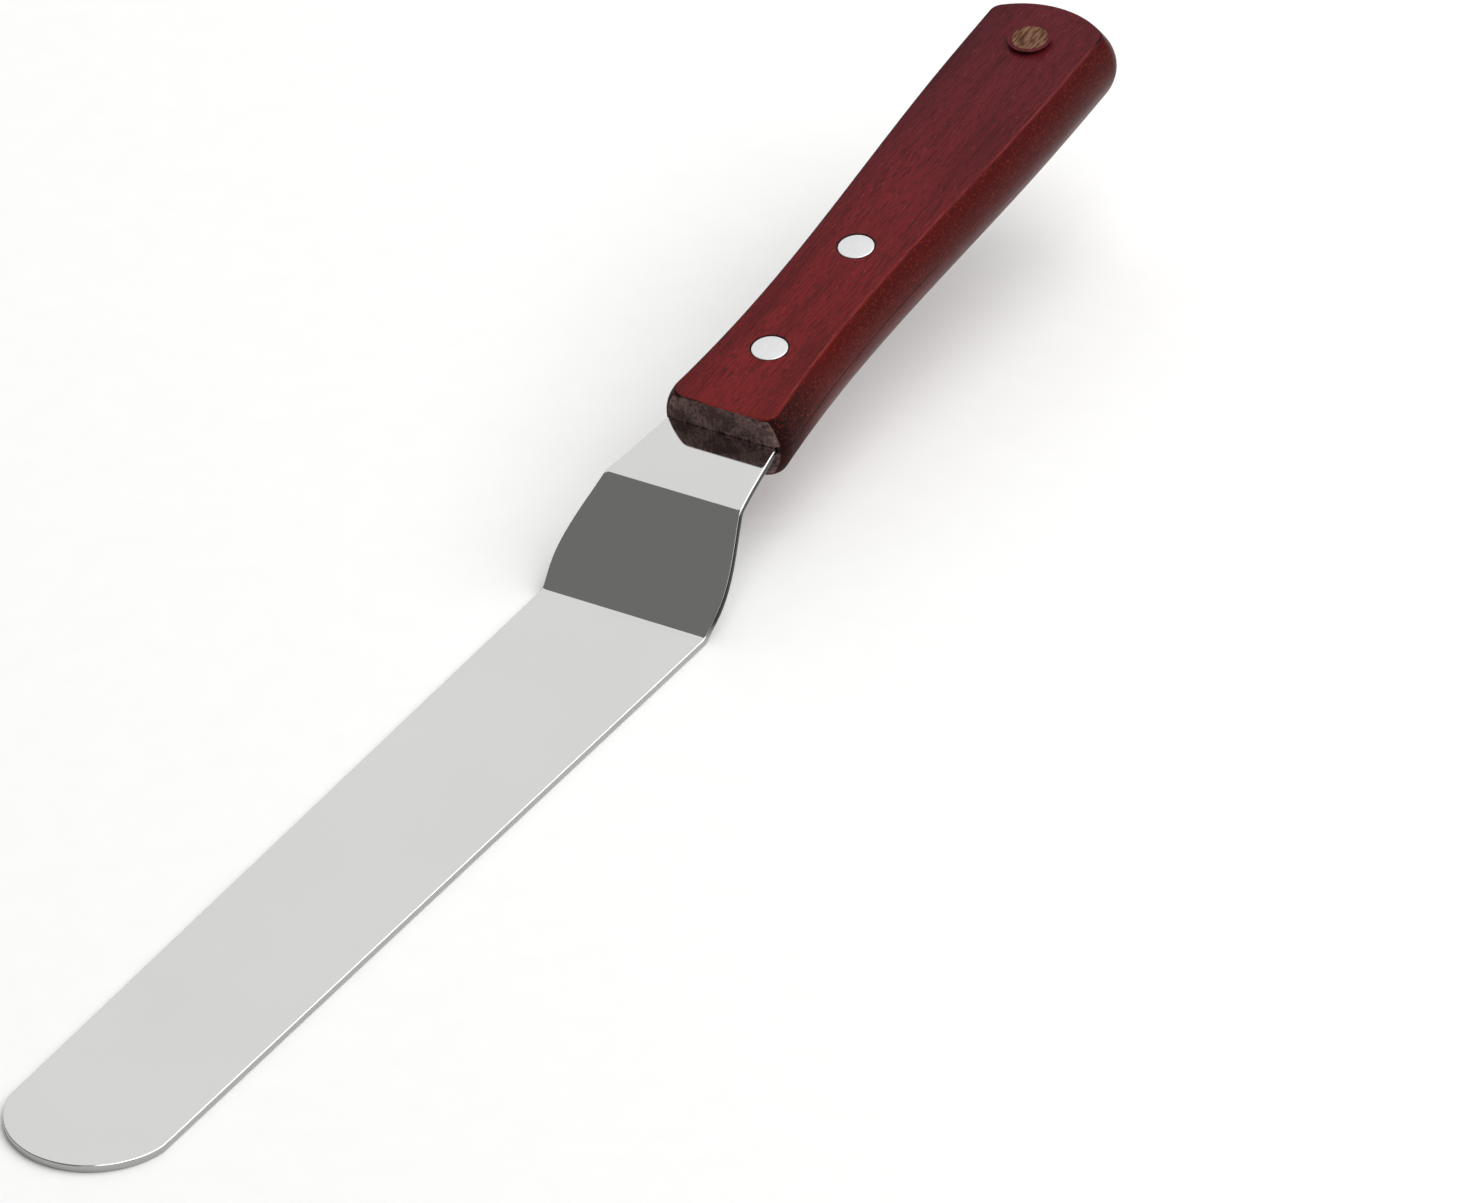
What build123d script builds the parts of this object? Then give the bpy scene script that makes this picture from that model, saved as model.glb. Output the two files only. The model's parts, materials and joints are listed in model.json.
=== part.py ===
from build123d import *
import math
import os

# Offset icing spatula, lying as it rests on a worktop: a long flat blade, a riser that cranks up
# from it, a short neck, and a tang that runs inside a one-piece wooden handle. Two compression
# rivets clamp the slotted wood onto the tang. Millimetres, +Z up. The origin is on the underside
# of the blade, on the centre line, halfway along the flat. +X points to the blade's tip.

# Sheet steel
SHEET_THICKNESS = 1.6
FLAT_LENGTH = 214.0
ROOT_WIDTH = 38.7
TIP_WIDTH = 35.2
TIP_RADIUS = 17.9

# Riser and neck, measured between the corners of the sheet's mid-plane
RISER_LENGTH = 27.4
RISER_ANGLE = 41.2
LOWER_BEND_RADIUS = 2.0
UPPER_BEND_RADIUS = 3.0
SHOULDER_WIDTH = 39.6
SHOULDER_STATION = 5.5
NECK_ROOT_WIDTH = 32.2
NECK_END_WIDTH = 25.8
NECK_LENGTH = 19.5

# Tang
TANG_ROOT_WIDTH = 25.2
TANG_WIDTH = 16.0
TANG_TAPER_LENGTH = 16.0
TANG_REAR_MARGIN = 8.0
TANG_END_ROUND = 4.0
TANG_OVERLAP = 2.0

# Wooden handle, in its own plane: stations run rearwards from its front face
HANDLE_PITCH = 8.1
HANDLE_LENGTH = 146.0
HANDLE_THICKNESS = 15.0
HANDLE_BULGE = 2.7
HANDLE_FRONT_WIDTH = 30.0
WAIST_STATION = 35.0
WAIST_WIDTH = 26.0
HIP_FROM_REAR = 34.0
HIP_WIDTH = 31.2
REAR_WIDTH = 31.6
REAR_ARC_RADIUS = 23.5
REAR_CORNER_RADIUS = 5.5
FRONT_CORNER_RADIUS = 3.6
RIM_ROUND = 0.5
FRONT_TRIM = 4.0
HANG_HOLE_DIAMETER = 7.5
HANG_HOLE_FROM_REAR = 15.2
HANG_HOLE_CHAMFER = 0.3

# Rivets
FRONT_RIVET_STATION = 21.0
RIVET_SPACING = 35.8
RIVET_HEAD_DIAMETER = 7.8
RIVET_HEAD_THICKNESS = 1.6
RIVET_BARREL_DIAMETER = 5.0
RIVET_PIN_DIAMETER = 3.2
RIVET_PIN_CHAMFER = 0.4
RIVET_BARREL_END_GAP = 0.3
RIVET_PIN_TIP_GAP = 1.0
RIVET_EDGE_BREAK = 0.15

# Fits
FRONT_GAP = 0.1
SLOT_SIDE_CLEARANCE = 0.4
SLOT_FACE_CLEARANCE = 0.03
KERF_GAP = 0.5
KERF_PAST_TANG = 1.5
HEAD_CLEARANCE = 0.08
BARREL_CLEARANCE = 0.1
TANG_HOLE_CLEARANCE = 0.15
PIN_CLEARANCE = 0.02

# Blanks and cuts that must reach past the metal or wood they shape are this many times as wide
OVERSIZE = 1.2

# Places that follow from the sizes above
half_thickness = SHEET_THICKNESS / 2
half_handle = HANDLE_THICKNESS / 2
tip_x = FLAT_LENGTH / 2
lower_bend_x = -FLAT_LENGTH / 2
riser_run = RISER_LENGTH * math.cos(math.radians(RISER_ANGLE))
riser_rise = RISER_LENGTH * math.sin(math.radians(RISER_ANGLE))
pitch_cos = math.cos(math.radians(HANDLE_PITCH))
pitch_sin = math.sin(math.radians(HANDLE_PITCH))
upper_bend_x = lower_bend_x - riser_run
upper_bend_z = half_thickness + riser_rise
front_x = upper_bend_x - NECK_LENGTH * pitch_cos
front_z = upper_bend_z + NECK_LENGTH * pitch_sin
rear_rivet_station = FRONT_RIVET_STATION + RIVET_SPACING
rivet_stations = {"front": FRONT_RIVET_STATION, "rear": rear_rivet_station}
rivet_spots = [(station, 0) for station in rivet_stations.values()]
tang_length = rear_rivet_station + TANG_REAR_MARGIN
kerf_length = tang_length + KERF_PAST_TANG
hang_hole_station = HANDLE_LENGTH - HANG_HOLE_FROM_REAR
between_heads = HANDLE_THICKNESS - 2 * RIVET_HEAD_THICKNESS
barrel_length = between_heads - RIVET_BARREL_END_GAP
pin_length = between_heads - RIVET_PIN_TIP_GAP

# The handle's mid-plane, which is also the tang's: X runs rearwards and up, Z out of its top.
handle_plane = Plane(
    origin=(front_x, 0, front_z),
    x_dir=(-pitch_cos, 0, pitch_sin),
    z_dir=(pitch_sin, 0, pitch_cos),
)
handle_normal = Axis((front_x, 0, front_z), (pitch_sin, 0, pitch_cos))
handle_length_axis = Axis((front_x, 0, front_z), (-pitch_cos, 0, pitch_sin))


def blade_plan():
    """Draw the plan outline of the blade, riser and neck, seen square from above."""
    tip_half = TIP_WIDTH / 2
    tip_centre_x = tip_x - TIP_RADIUS
    corner_x = tip_centre_x + math.sqrt(TIP_RADIUS**2 - tip_half**2)
    root = (lower_bend_x, ROOT_WIDTH / 2)
    shoulder_x = lower_bend_x - SHOULDER_STATION * math.cos(math.radians(RISER_ANGLE))
    neck_end_x = front_x + FRONT_GAP * pitch_cos
    with BuildSketch() as plan:
        with BuildLine():
            edge = Line((corner_x, tip_half), root)
            Spline(
                root,
                (shoulder_x, SHOULDER_WIDTH / 2),
                (upper_bend_x, NECK_ROOT_WIDTH / 2),
                (neck_end_x, NECK_END_WIDTH / 2),
                tangents=(edge % 1, (-NECK_LENGTH, (NECK_END_WIDTH - NECK_ROOT_WIDTH) / 2)),
            )
            mirror(about=Plane.XZ)
            ThreePointArc((corner_x, tip_half), (tip_x, 0), (corner_x, -tip_half))
            Line((neck_end_x, NECK_END_WIDTH / 2), (neck_end_x, -NECK_END_WIDTH / 2))
        make_face()
    return plan.sketch


def tang_outline(clearance):
    """Draw the tang in the handle's plane, grown by a clearance at its sides and its end."""
    root_half = TANG_ROOT_WIDTH / 2 + clearance
    tang_half = TANG_WIDTH / 2 + clearance
    end = tang_length + clearance
    with BuildSketch() as tang:
        with BuildLine():
            Polyline(
                (-TANG_OVERLAP, -root_half),
                (-TANG_OVERLAP, root_half),
                (0, root_half),
                (TANG_TAPER_LENGTH, tang_half),
                (end, tang_half),
                (end, -tang_half),
                (TANG_TAPER_LENGTH, -tang_half),
                (0, -root_half),
                close=True,
            )
        make_face()
        fillet(tang.vertices().group_by(Axis.X)[-1], TANG_END_ROUND)
    return tang.sketch


def handle_outline(inset):
    """Draw the handle's plan, drawn in by an inset at its sides and its rear."""
    front_half = HANDLE_FRONT_WIDTH / 2 - inset
    waist_half = WAIST_WIDTH / 2 - inset
    rear_half = REAR_WIDTH / 2 - inset
    # A side that curves evenly to the waist starts at twice its mean slope.
    flare = 2 * (front_half - waist_half) / WAIST_STATION
    blank_front = (-FRONT_TRIM, front_half + flare * FRONT_TRIM)
    corner_radius = REAR_CORNER_RADIUS - inset
    rear_radius = REAR_ARC_RADIUS - inset
    rear_centre = HANDLE_LENGTH - REAR_ARC_RADIUS
    corner_y = rear_half - corner_radius
    corner_reach = math.sqrt((rear_radius - corner_radius) ** 2 - corner_y**2)
    corner_angle = math.atan2(corner_y, corner_reach)
    side_end = (rear_centre + corner_reach, rear_half)
    rear_start = (
        rear_centre + rear_radius * math.cos(corner_angle),
        rear_radius * math.sin(corner_angle),
    )
    with BuildSketch() as outline:
        with BuildLine():
            Spline(
                blank_front,
                (0, front_half),
                (WAIST_STATION, waist_half),
                (HANDLE_LENGTH - HIP_FROM_REAR, HIP_WIDTH / 2 - inset),
                side_end,
                tangents=((1, -flare), (1, 0)),
            )
            TangentArc(side_end, rear_start, tangent=(1, 0))
            mirror(about=Plane.XZ)
            ThreePointArc(rear_start, (HANDLE_LENGTH - inset, 0), (rear_start[0], -rear_start[1]))
            Line(blank_front, (blank_front[0], -blank_front[1]))
        make_face()
    return outline.sketch


def build_blade():
    """One sheet: flat blade, riser and neck, bent from a strip, with the tang in its plane."""
    with BuildPart() as blade:
        with BuildLine(Plane.XZ):
            FilletPolyline(
                (tip_x, half_thickness),
                (lower_bend_x, half_thickness),
                (upper_bend_x, upper_bend_z),
                (front_x + FRONT_GAP * pitch_cos, front_z - FRONT_GAP * pitch_sin),
                radius=(LOWER_BEND_RADIUS + half_thickness, UPPER_BEND_RADIUS + half_thickness),
            )
        strip_width = OVERSIZE * max(SHOULDER_WIDTH, ROOT_WIDTH, TIP_WIDTH)
        with BuildSketch(Plane(origin=(tip_x, 0, half_thickness), x_dir=(0, 1, 0), z_dir=(-1, 0, 0))):
            Rectangle(strip_width, SHEET_THICKNESS)
        sweep()
        with BuildSketch(Plane.XY):
            add(blade_plan())
        extrude(amount=front_z + SHEET_THICKNESS, mode=Mode.INTERSECT)
        with BuildSketch(handle_plane):
            add(tang_outline(0))
        extrude(amount=half_thickness, both=True)
        with BuildSketch(handle_plane):
            with Locations(*rivet_spots):
                Circle(RIVET_BARREL_DIAMETER / 2 + TANG_HOLE_CLEARANCE)
        extrude(amount=SHEET_THICKNESS, both=True, mode=Mode.SUBTRACT)
    return blade


def build_handle():
    """One piece of wood with bulged sides, slotted from its front for the tang."""
    with BuildPart() as handle:
        for height, inset in ((-half_handle, HANDLE_BULGE), (0, 0), (half_handle, HANDLE_BULGE)):
            with BuildSketch(handle_plane.offset(height)):
                add(handle_outline(inset))
        loft()
        front_face_plane = Plane(
            origin=(front_x, 0, front_z), x_dir=(0, 1, 0), z_dir=(-pitch_cos, 0, pitch_sin)
        )
        split(bisect_by=front_face_plane, keep=Keep.TOP)
        front_face = handle.faces().sort_by(handle_length_axis)[0]
        fillet(front_face.edges().sort_by(Axis.Y)[0], FRONT_CORNER_RADIUS)
        front_face = handle.faces().sort_by(handle_length_axis)[0]
        fillet(front_face.edges().sort_by(Axis.Y)[-1], FRONT_CORNER_RADIUS)
        broad_faces = handle.faces().filter_by(handle_normal)
        fillet(broad_faces.edges(), RIM_ROUND)
        # Slot for the tang, and the saw kerf that shows as a fine seam round the front half
        with BuildSketch(handle_plane):
            add(tang_outline(SLOT_SIDE_CLEARANCE))
        extrude(amount=half_thickness + SLOT_FACE_CLEARANCE, both=True, mode=Mode.SUBTRACT)
        with BuildSketch(handle_plane):
            with Locations(((kerf_length - FRONT_TRIM) / 2, 0)):
                Rectangle(kerf_length + FRONT_TRIM, OVERSIZE * HANDLE_FRONT_WIDTH)
        extrude(amount=KERF_GAP / 2, both=True, mode=Mode.SUBTRACT)
        # Rivet holes, counterbored from both faces for the heads
        with BuildSketch(handle_plane):
            with Locations(*rivet_spots):
                Circle(RIVET_BARREL_DIAMETER / 2 + BARREL_CLEARANCE)
        extrude(amount=HANDLE_THICKNESS, both=True, mode=Mode.SUBTRACT)
        for side in (-1, 1):
            with BuildSketch(handle_plane.offset(side * half_handle)):
                with Locations(*rivet_spots):
                    Circle(RIVET_HEAD_DIAMETER / 2 + HEAD_CLEARANCE)
            extrude(amount=-side * RIVET_HEAD_THICKNESS, mode=Mode.SUBTRACT)
        # Hang hole through the rear
        with BuildSketch(handle_plane):
            with Locations((hang_hole_station, 0)):
                Circle(HANG_HOLE_DIAMETER / 2)
        extrude(amount=HANDLE_THICKNESS, both=True, mode=Mode.SUBTRACT)
        hang_hole_rims = handle.faces().filter_by(handle_normal).edges().filter_by(GeomType.CIRCLE)
        hang_hole_rims = hang_hole_rims.sort_by(handle_length_axis)[-2:]
        chamfer(hang_hole_rims, HANG_HOLE_CHAMFER)
    return handle


def build_rivet_barrel(station):
    """The female half: a flush head on the handle's top and a bored barrel below it."""
    with BuildPart() as barrel:
        with BuildSketch(handle_plane.offset(half_handle)):
            with Locations((station, 0)):
                Circle(RIVET_HEAD_DIAMETER / 2)
        extrude(amount=-RIVET_HEAD_THICKNESS)
        with BuildSketch(handle_plane.offset(half_handle - RIVET_HEAD_THICKNESS)):
            with Locations((station, 0)):
                Circle(RIVET_BARREL_DIAMETER / 2)
                Circle(RIVET_PIN_DIAMETER / 2 + PIN_CLEARANCE, mode=Mode.SUBTRACT)
        extrude(amount=-barrel_length)
        rims = barrel.edges().filter_by(GeomType.CIRCLE).sort_by(handle_normal)
        fillet(rims[-1], RIVET_EDGE_BREAK)
    return barrel


def build_rivet_pin(station):
    """The male half: a flush head on the handle's underside and a pin driven up the barrel."""
    with BuildPart() as pin:
        with BuildSketch(handle_plane.offset(-half_handle)):
            with Locations((station, 0)):
                Circle(RIVET_HEAD_DIAMETER / 2)
        extrude(amount=RIVET_HEAD_THICKNESS)
        with BuildSketch(handle_plane.offset(RIVET_HEAD_THICKNESS - half_handle)):
            with Locations((station, 0)):
                Circle(RIVET_PIN_DIAMETER / 2)
        extrude(amount=pin_length)
        rims = pin.edges().filter_by(GeomType.CIRCLE).sort_by(handle_normal)
        fillet(rims[0], RIVET_EDGE_BREAK)
        rims = pin.edges().filter_by(GeomType.CIRCLE).sort_by(handle_normal)
        chamfer(rims[-1], RIVET_PIN_CHAMFER)
    return pin


os.makedirs("parts", exist_ok=True)
pieces = {"blade": build_blade(), "handle": build_handle()}
for place, station in rivet_stations.items():
    pieces[f"{place}_rivet_barrel"] = build_rivet_barrel(station)
    pieces[f"{place}_rivet_pin"] = build_rivet_pin(station)
for name, piece in pieces.items():
    piece.part.label = name
    export_step(piece.part, f"parts/{name}.step")
print("hang hole centre", handle_plane.from_local_coords(Vector(hang_hole_station, 0, 0)))
print("hang hole axis", handle_plane.z_dir)
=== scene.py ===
"""Offset icing spatula: a cranked steel blade riveted into a slotted hardwood handle.

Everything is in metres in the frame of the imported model: the origin is on the underside of the
blade, halfway along its flat, with +X to the tip and +Z up. Sizes below are in millimetres.
"""

import json
import logging
import math
from dataclasses import dataclass
from enum import Enum

import bmesh
import bpy
import numpy as np
from mathutils import Matrix, Vector


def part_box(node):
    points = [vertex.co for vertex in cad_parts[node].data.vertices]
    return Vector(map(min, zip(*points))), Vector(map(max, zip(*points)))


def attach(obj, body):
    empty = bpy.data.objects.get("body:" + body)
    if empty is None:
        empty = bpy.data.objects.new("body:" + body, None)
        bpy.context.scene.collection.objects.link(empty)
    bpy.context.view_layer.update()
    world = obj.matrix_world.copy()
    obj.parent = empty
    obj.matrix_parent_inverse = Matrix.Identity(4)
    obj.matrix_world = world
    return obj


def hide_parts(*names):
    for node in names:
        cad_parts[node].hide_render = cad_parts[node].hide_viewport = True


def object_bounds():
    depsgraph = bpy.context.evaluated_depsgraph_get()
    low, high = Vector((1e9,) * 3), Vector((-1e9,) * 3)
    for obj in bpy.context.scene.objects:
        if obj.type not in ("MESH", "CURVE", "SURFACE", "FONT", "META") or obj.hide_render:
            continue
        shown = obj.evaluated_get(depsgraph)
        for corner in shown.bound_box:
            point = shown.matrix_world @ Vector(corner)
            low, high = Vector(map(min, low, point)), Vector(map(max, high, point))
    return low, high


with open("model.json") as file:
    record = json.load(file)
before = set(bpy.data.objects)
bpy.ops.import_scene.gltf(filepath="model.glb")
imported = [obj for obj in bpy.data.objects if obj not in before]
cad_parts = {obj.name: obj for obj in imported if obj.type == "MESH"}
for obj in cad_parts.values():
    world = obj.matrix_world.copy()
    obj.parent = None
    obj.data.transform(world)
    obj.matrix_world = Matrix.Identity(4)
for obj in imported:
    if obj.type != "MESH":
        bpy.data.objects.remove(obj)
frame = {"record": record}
cad_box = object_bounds()

log = logging.getLogger("offset_spatula")

MM = 0.001
BODY = "root"
# Points nearer to each other than this, in metres, are one point
WELD = 1e-7


class Slot(Enum):
    """The record's material slots."""

    STEEL = "polished_steel"
    WOOD = "stained_hardwood"
    RIVET = "rivet_aluminium"


class RivetHalf(Enum):
    """The two halves of a compression rivet, named as their nodes end."""

    BARREL = "barrel"
    PIN = "pin"


# ---------------------------------------------------------------- colour and nodes


def linear(hex_colour: str) -> tuple[float, float, float, float]:
    """Turn an sRGB hex colour to the linear colour that shaders use.

    Args:
        hex_colour: Six hex digits after a hash, such as "#6B2A2B".

    Returns:
        Red, green, blue and an alpha of 1, all linear.
    """
    parts = [int(hex_colour[i : i + 2], 16) / 255 for i in (1, 3, 5)]
    red, green, blue = (c / 12.92 if c <= 0.04045 else ((c + 0.055) / 1.055) ** 2.4 for c in parts)
    return red, green, blue, 1.0


def add_node(
    tree: bpy.types.NodeTree,
    kind: str,
    inputs: dict[str | int, object] | None = None,
    **settings: object,
) -> bpy.types.Node:
    """Add a node, set its own settings, and fill its inputs with values or links.

    Args:
        tree: The material's or world's node tree.
        kind: The node's type without its "ShaderNode" beginning.
        inputs: For each input, by name or number, a value or the socket that feeds it.
        **settings: The node's own properties.

    Returns:
        The new node.
    """
    node = tree.nodes.new("ShaderNode" + kind)
    for name, value in settings.items():
        setattr(node, name, value)
    for name, value in (inputs or {}).items():
        if isinstance(value, bpy.types.NodeSocket):
            tree.links.new(value, node.inputs[name])
        else:
            node.inputs[name].default_value = value
    return node


def new_material(name: str) -> tuple[bpy.types.Material, bpy.types.NodeTree]:
    """Start a node material with nothing in it.

    Args:
        name: The finish's own name.

    Returns:
        The material and its empty node tree.
    """
    material = bpy.data.materials.new(name)
    material.use_nodes = True
    material.node_tree.nodes.clear()
    return material, material.node_tree


# ---------------------------------------------------------------- curves and meshes


def clamped_spline(
    knots: np.ndarray, values: np.ndarray, slopes: tuple[float, float], at: np.ndarray
) -> np.ndarray:
    """Draw one smooth curve through points, with a given slope at each end.

    The curve is a cubic between each two knots, with equal slope and bending where two cubics
    meet. The inner slopes come from the usual three-term equations, solved together.

    Args:
        knots: Rising positions of the points.
        values: The points' heights.
        slopes: The slope at the first and at the last point.
        at: Where the curve is wanted.

    Returns:
        The curve's height at each wanted position.
    """
    gaps = np.diff(knots)
    rises = np.diff(values) / gaps
    count = len(knots)
    system = np.eye(count)
    right = np.zeros(count)
    right[0], right[-1] = slopes
    inner = np.arange(1, count - 1)
    system[inner, inner - 1] = gaps[1:]
    system[inner, inner] = 2 * (gaps[:-1] + gaps[1:])
    system[inner, inner + 1] = gaps[:-1]
    right[inner] = 3 * (rises[:-1] * gaps[1:] + rises[1:] * gaps[:-1])
    slope = np.linalg.solve(system, right)
    i = np.clip(np.searchsorted(knots, at) - 1, 0, count - 2)
    t = (at - knots[i]) / gaps[i]
    return (
        values[i] * (2 * t**3 - 3 * t**2 + 1)
        + slope[i] * gaps[i] * (t**3 - 2 * t**2 + t)
        + values[i + 1] * (3 * t**2 - 2 * t**3)
        + slope[i + 1] * gaps[i] * (t**3 - t**2)
    )


def corner_normals(path: np.ndarray) -> np.ndarray:
    """Point outwards at each point of a flat path, halfway between its two neighbouring runs.

    Args:
        path: Points in order, one row each, with the solid on the path's right.

    Returns:
        One unit vector for each point.
    """
    runs = np.diff(path, axis=0)
    runs /= np.linalg.norm(runs, axis=1, keepdims=True)
    left = np.stack([-runs[:, 1], runs[:, 0]], axis=1)
    joined = np.vstack([left[:1], left[:-1] + left[1:], left[-1:]])
    return joined / np.linalg.norm(joined, axis=1, keepdims=True)


def surface_object(
    name: str, points: np.ndarray, round_trip: bool, paint: tuple[str, np.ndarray] | None = None
) -> bpy.types.Object:
    """Make a closed mesh object from a grid of points in metres.

    Args:
        name: The object's name.
        points: Grid of points, rows by columns by three. Each row is a closed ring when
            round_trip is true. Rows that shrink to a point, or to a slit, close the ends.
        round_trip: Whether the last column joins the first.
        paint: A value's name and its amount at each grid point, for a finish to read.

    Returns:
        The object, at the origin, with its doubles merged and its faces outwards.
    """
    rows, columns = points.shape[:2]
    across = columns if round_trip else columns - 1
    i, j = np.meshgrid(np.arange(rows - 1), np.arange(across), indexing="ij")
    k = (j + 1) % columns
    here, beyond = i * columns, (i + 1) * columns
    quads = np.stack([here + j, here + k, beyond + k, beyond + j], -1)
    mesh = bpy.data.meshes.new(name)
    mesh.from_pydata(points.reshape(-1, 3), [], quads.reshape(-1, 4))
    if paint is not None:
        layer = mesh.attributes.new(paint[0], "FLOAT", "POINT")
        layer.data.foreach_set("value", paint[1].astype(np.float32).ravel())
    solid = bmesh.new()
    solid.from_mesh(mesh)
    bmesh.ops.remove_doubles(solid, verts=solid.verts, dist=WELD)
    bmesh.ops.dissolve_degenerate(solid, edges=solid.edges, dist=WELD)
    bmesh.ops.recalc_face_normals(solid, faces=solid.faces)
    solid.to_mesh(mesh)
    solid.free()
    piece = bpy.data.objects.new(name, mesh)
    bpy.context.scene.collection.objects.link(piece)
    return piece


def cut(piece: bpy.types.Object, tool: bpy.types.Object) -> None:
    """Take a closed tool shape out of a piece, and throw the tool away.

    Args:
        piece: What is cut.
        tool: The shape that is taken out.
    """
    modifier = piece.modifiers.new("cut", "BOOLEAN")
    modifier.operation = "DIFFERENCE"
    modifier.solver = "EXACT"
    modifier.object = tool
    graph = bpy.context.evaluated_depsgraph_get()
    cut_mesh = bpy.data.meshes.new_from_object(piece.evaluated_get(graph))
    piece.modifiers.clear()
    old = piece.data
    piece.data = cut_mesh
    bpy.data.meshes.remove(old)
    bpy.data.meshes.remove(tool.data)


def smooth_up_to(piece: bpy.types.Object, angle: float) -> None:
    """Shade a piece smooth, and leave its edges sharper than an angle in degrees crisp."""
    piece.data.shade_smooth()
    piece.data.set_sharp_from_angle(angle=math.radians(angle))


def place(piece: bpy.types.Object, node: str, material: bpy.types.Material) -> None:
    """Dress a finished piece and put it on the frame in its node's stead.

    Args:
        piece: The finished object.
        node: The CAD node that it stands for.
        material: The finish.
    """
    piece.data.materials.clear()
    piece.data.materials.append(material)
    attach(piece, BODY)
    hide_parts(node)
    log.info("%s: %d faces", piece.name, len(piece.data.polygons))


# ---------------------------------------------------------------- the handle's own axes


@dataclass(frozen=True)
class HandleAxes:
    """The handle's mid-plane: stations run rearwards from its front face, heights out of its top.

    The axes are read from the hang hole in the record, whose station on the handle is known. The
    sizes are those that more than one piece or finish needs.
    """

    length: float = 146.0
    thickness: float = 15.0
    hole_station: float = 130.8
    hole_radius: float = 3.75
    rivet_stations: tuple[float, float] = (21.0, 56.8)
    rivet_head_radius: float = 3.9
    kerf_length: float = 66.3
    kerf_gap: float = 0.16

    @property
    def mount(self) -> dict:
        """The record's hang hole."""
        return next(m for m in frame["record"]["mounts"] if m["name"] == "hang_hole")

    @property
    def turn(self) -> Matrix:
        """The turn from handle axes to the model's: its columns are rearwards, sideways and up."""
        up = Vector(self.mount["axis"]).normalized()
        side = Vector((0.0, -1.0, 0.0))
        return Matrix((side.cross(up), side, up)).transposed()

    @property
    def origin(self) -> Vector:
        """The middle of the handle's front face, in metres."""
        return Vector(self.mount["pos_m"]) - self.turn.col[0] * self.hole_station * MM

    def to_model(self, points: np.ndarray) -> np.ndarray:
        """Take points from handle millimetres to model metres."""
        return np.asarray(self.origin) + (points * MM) @ np.asarray(self.turn).T


def turned(
    name: str, axes: HandleAxes, station: float, profile: np.ndarray, steps: int, jitter: float = 0.0
) -> bpy.types.Object:
    """Carry a profile round an axis that stands square to the handle.

    Args:
        name: The object's name.
        axes: The handle's axes.
        station: Where the turning axis stands.
        profile: Radius and height of each point, starting and ending on the axis.
        steps: How many steps make a full turn.
        jitter: How far the radius wanders, by a sum of four waves round the turn.

    Returns:
        The closed object.
    """
    angle = np.linspace(0, 2 * math.pi, steps, endpoint=False)
    wander = sum(np.sin(n * angle + n * n) / n for n in (3, 5, 9, 14)) * jitter
    radius = profile[:, :1] + np.where(profile[:, :1] > 0, wander[None, :], 0)
    points = np.stack([
        station + radius * np.cos(angle), radius * np.sin(angle),
        np.broadcast_to(profile[:, 1:], radius.shape),
    ], -1)
    return surface_object(name, axes.to_model(points), True)


# ---------------------------------------------------------------- finishes


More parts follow.
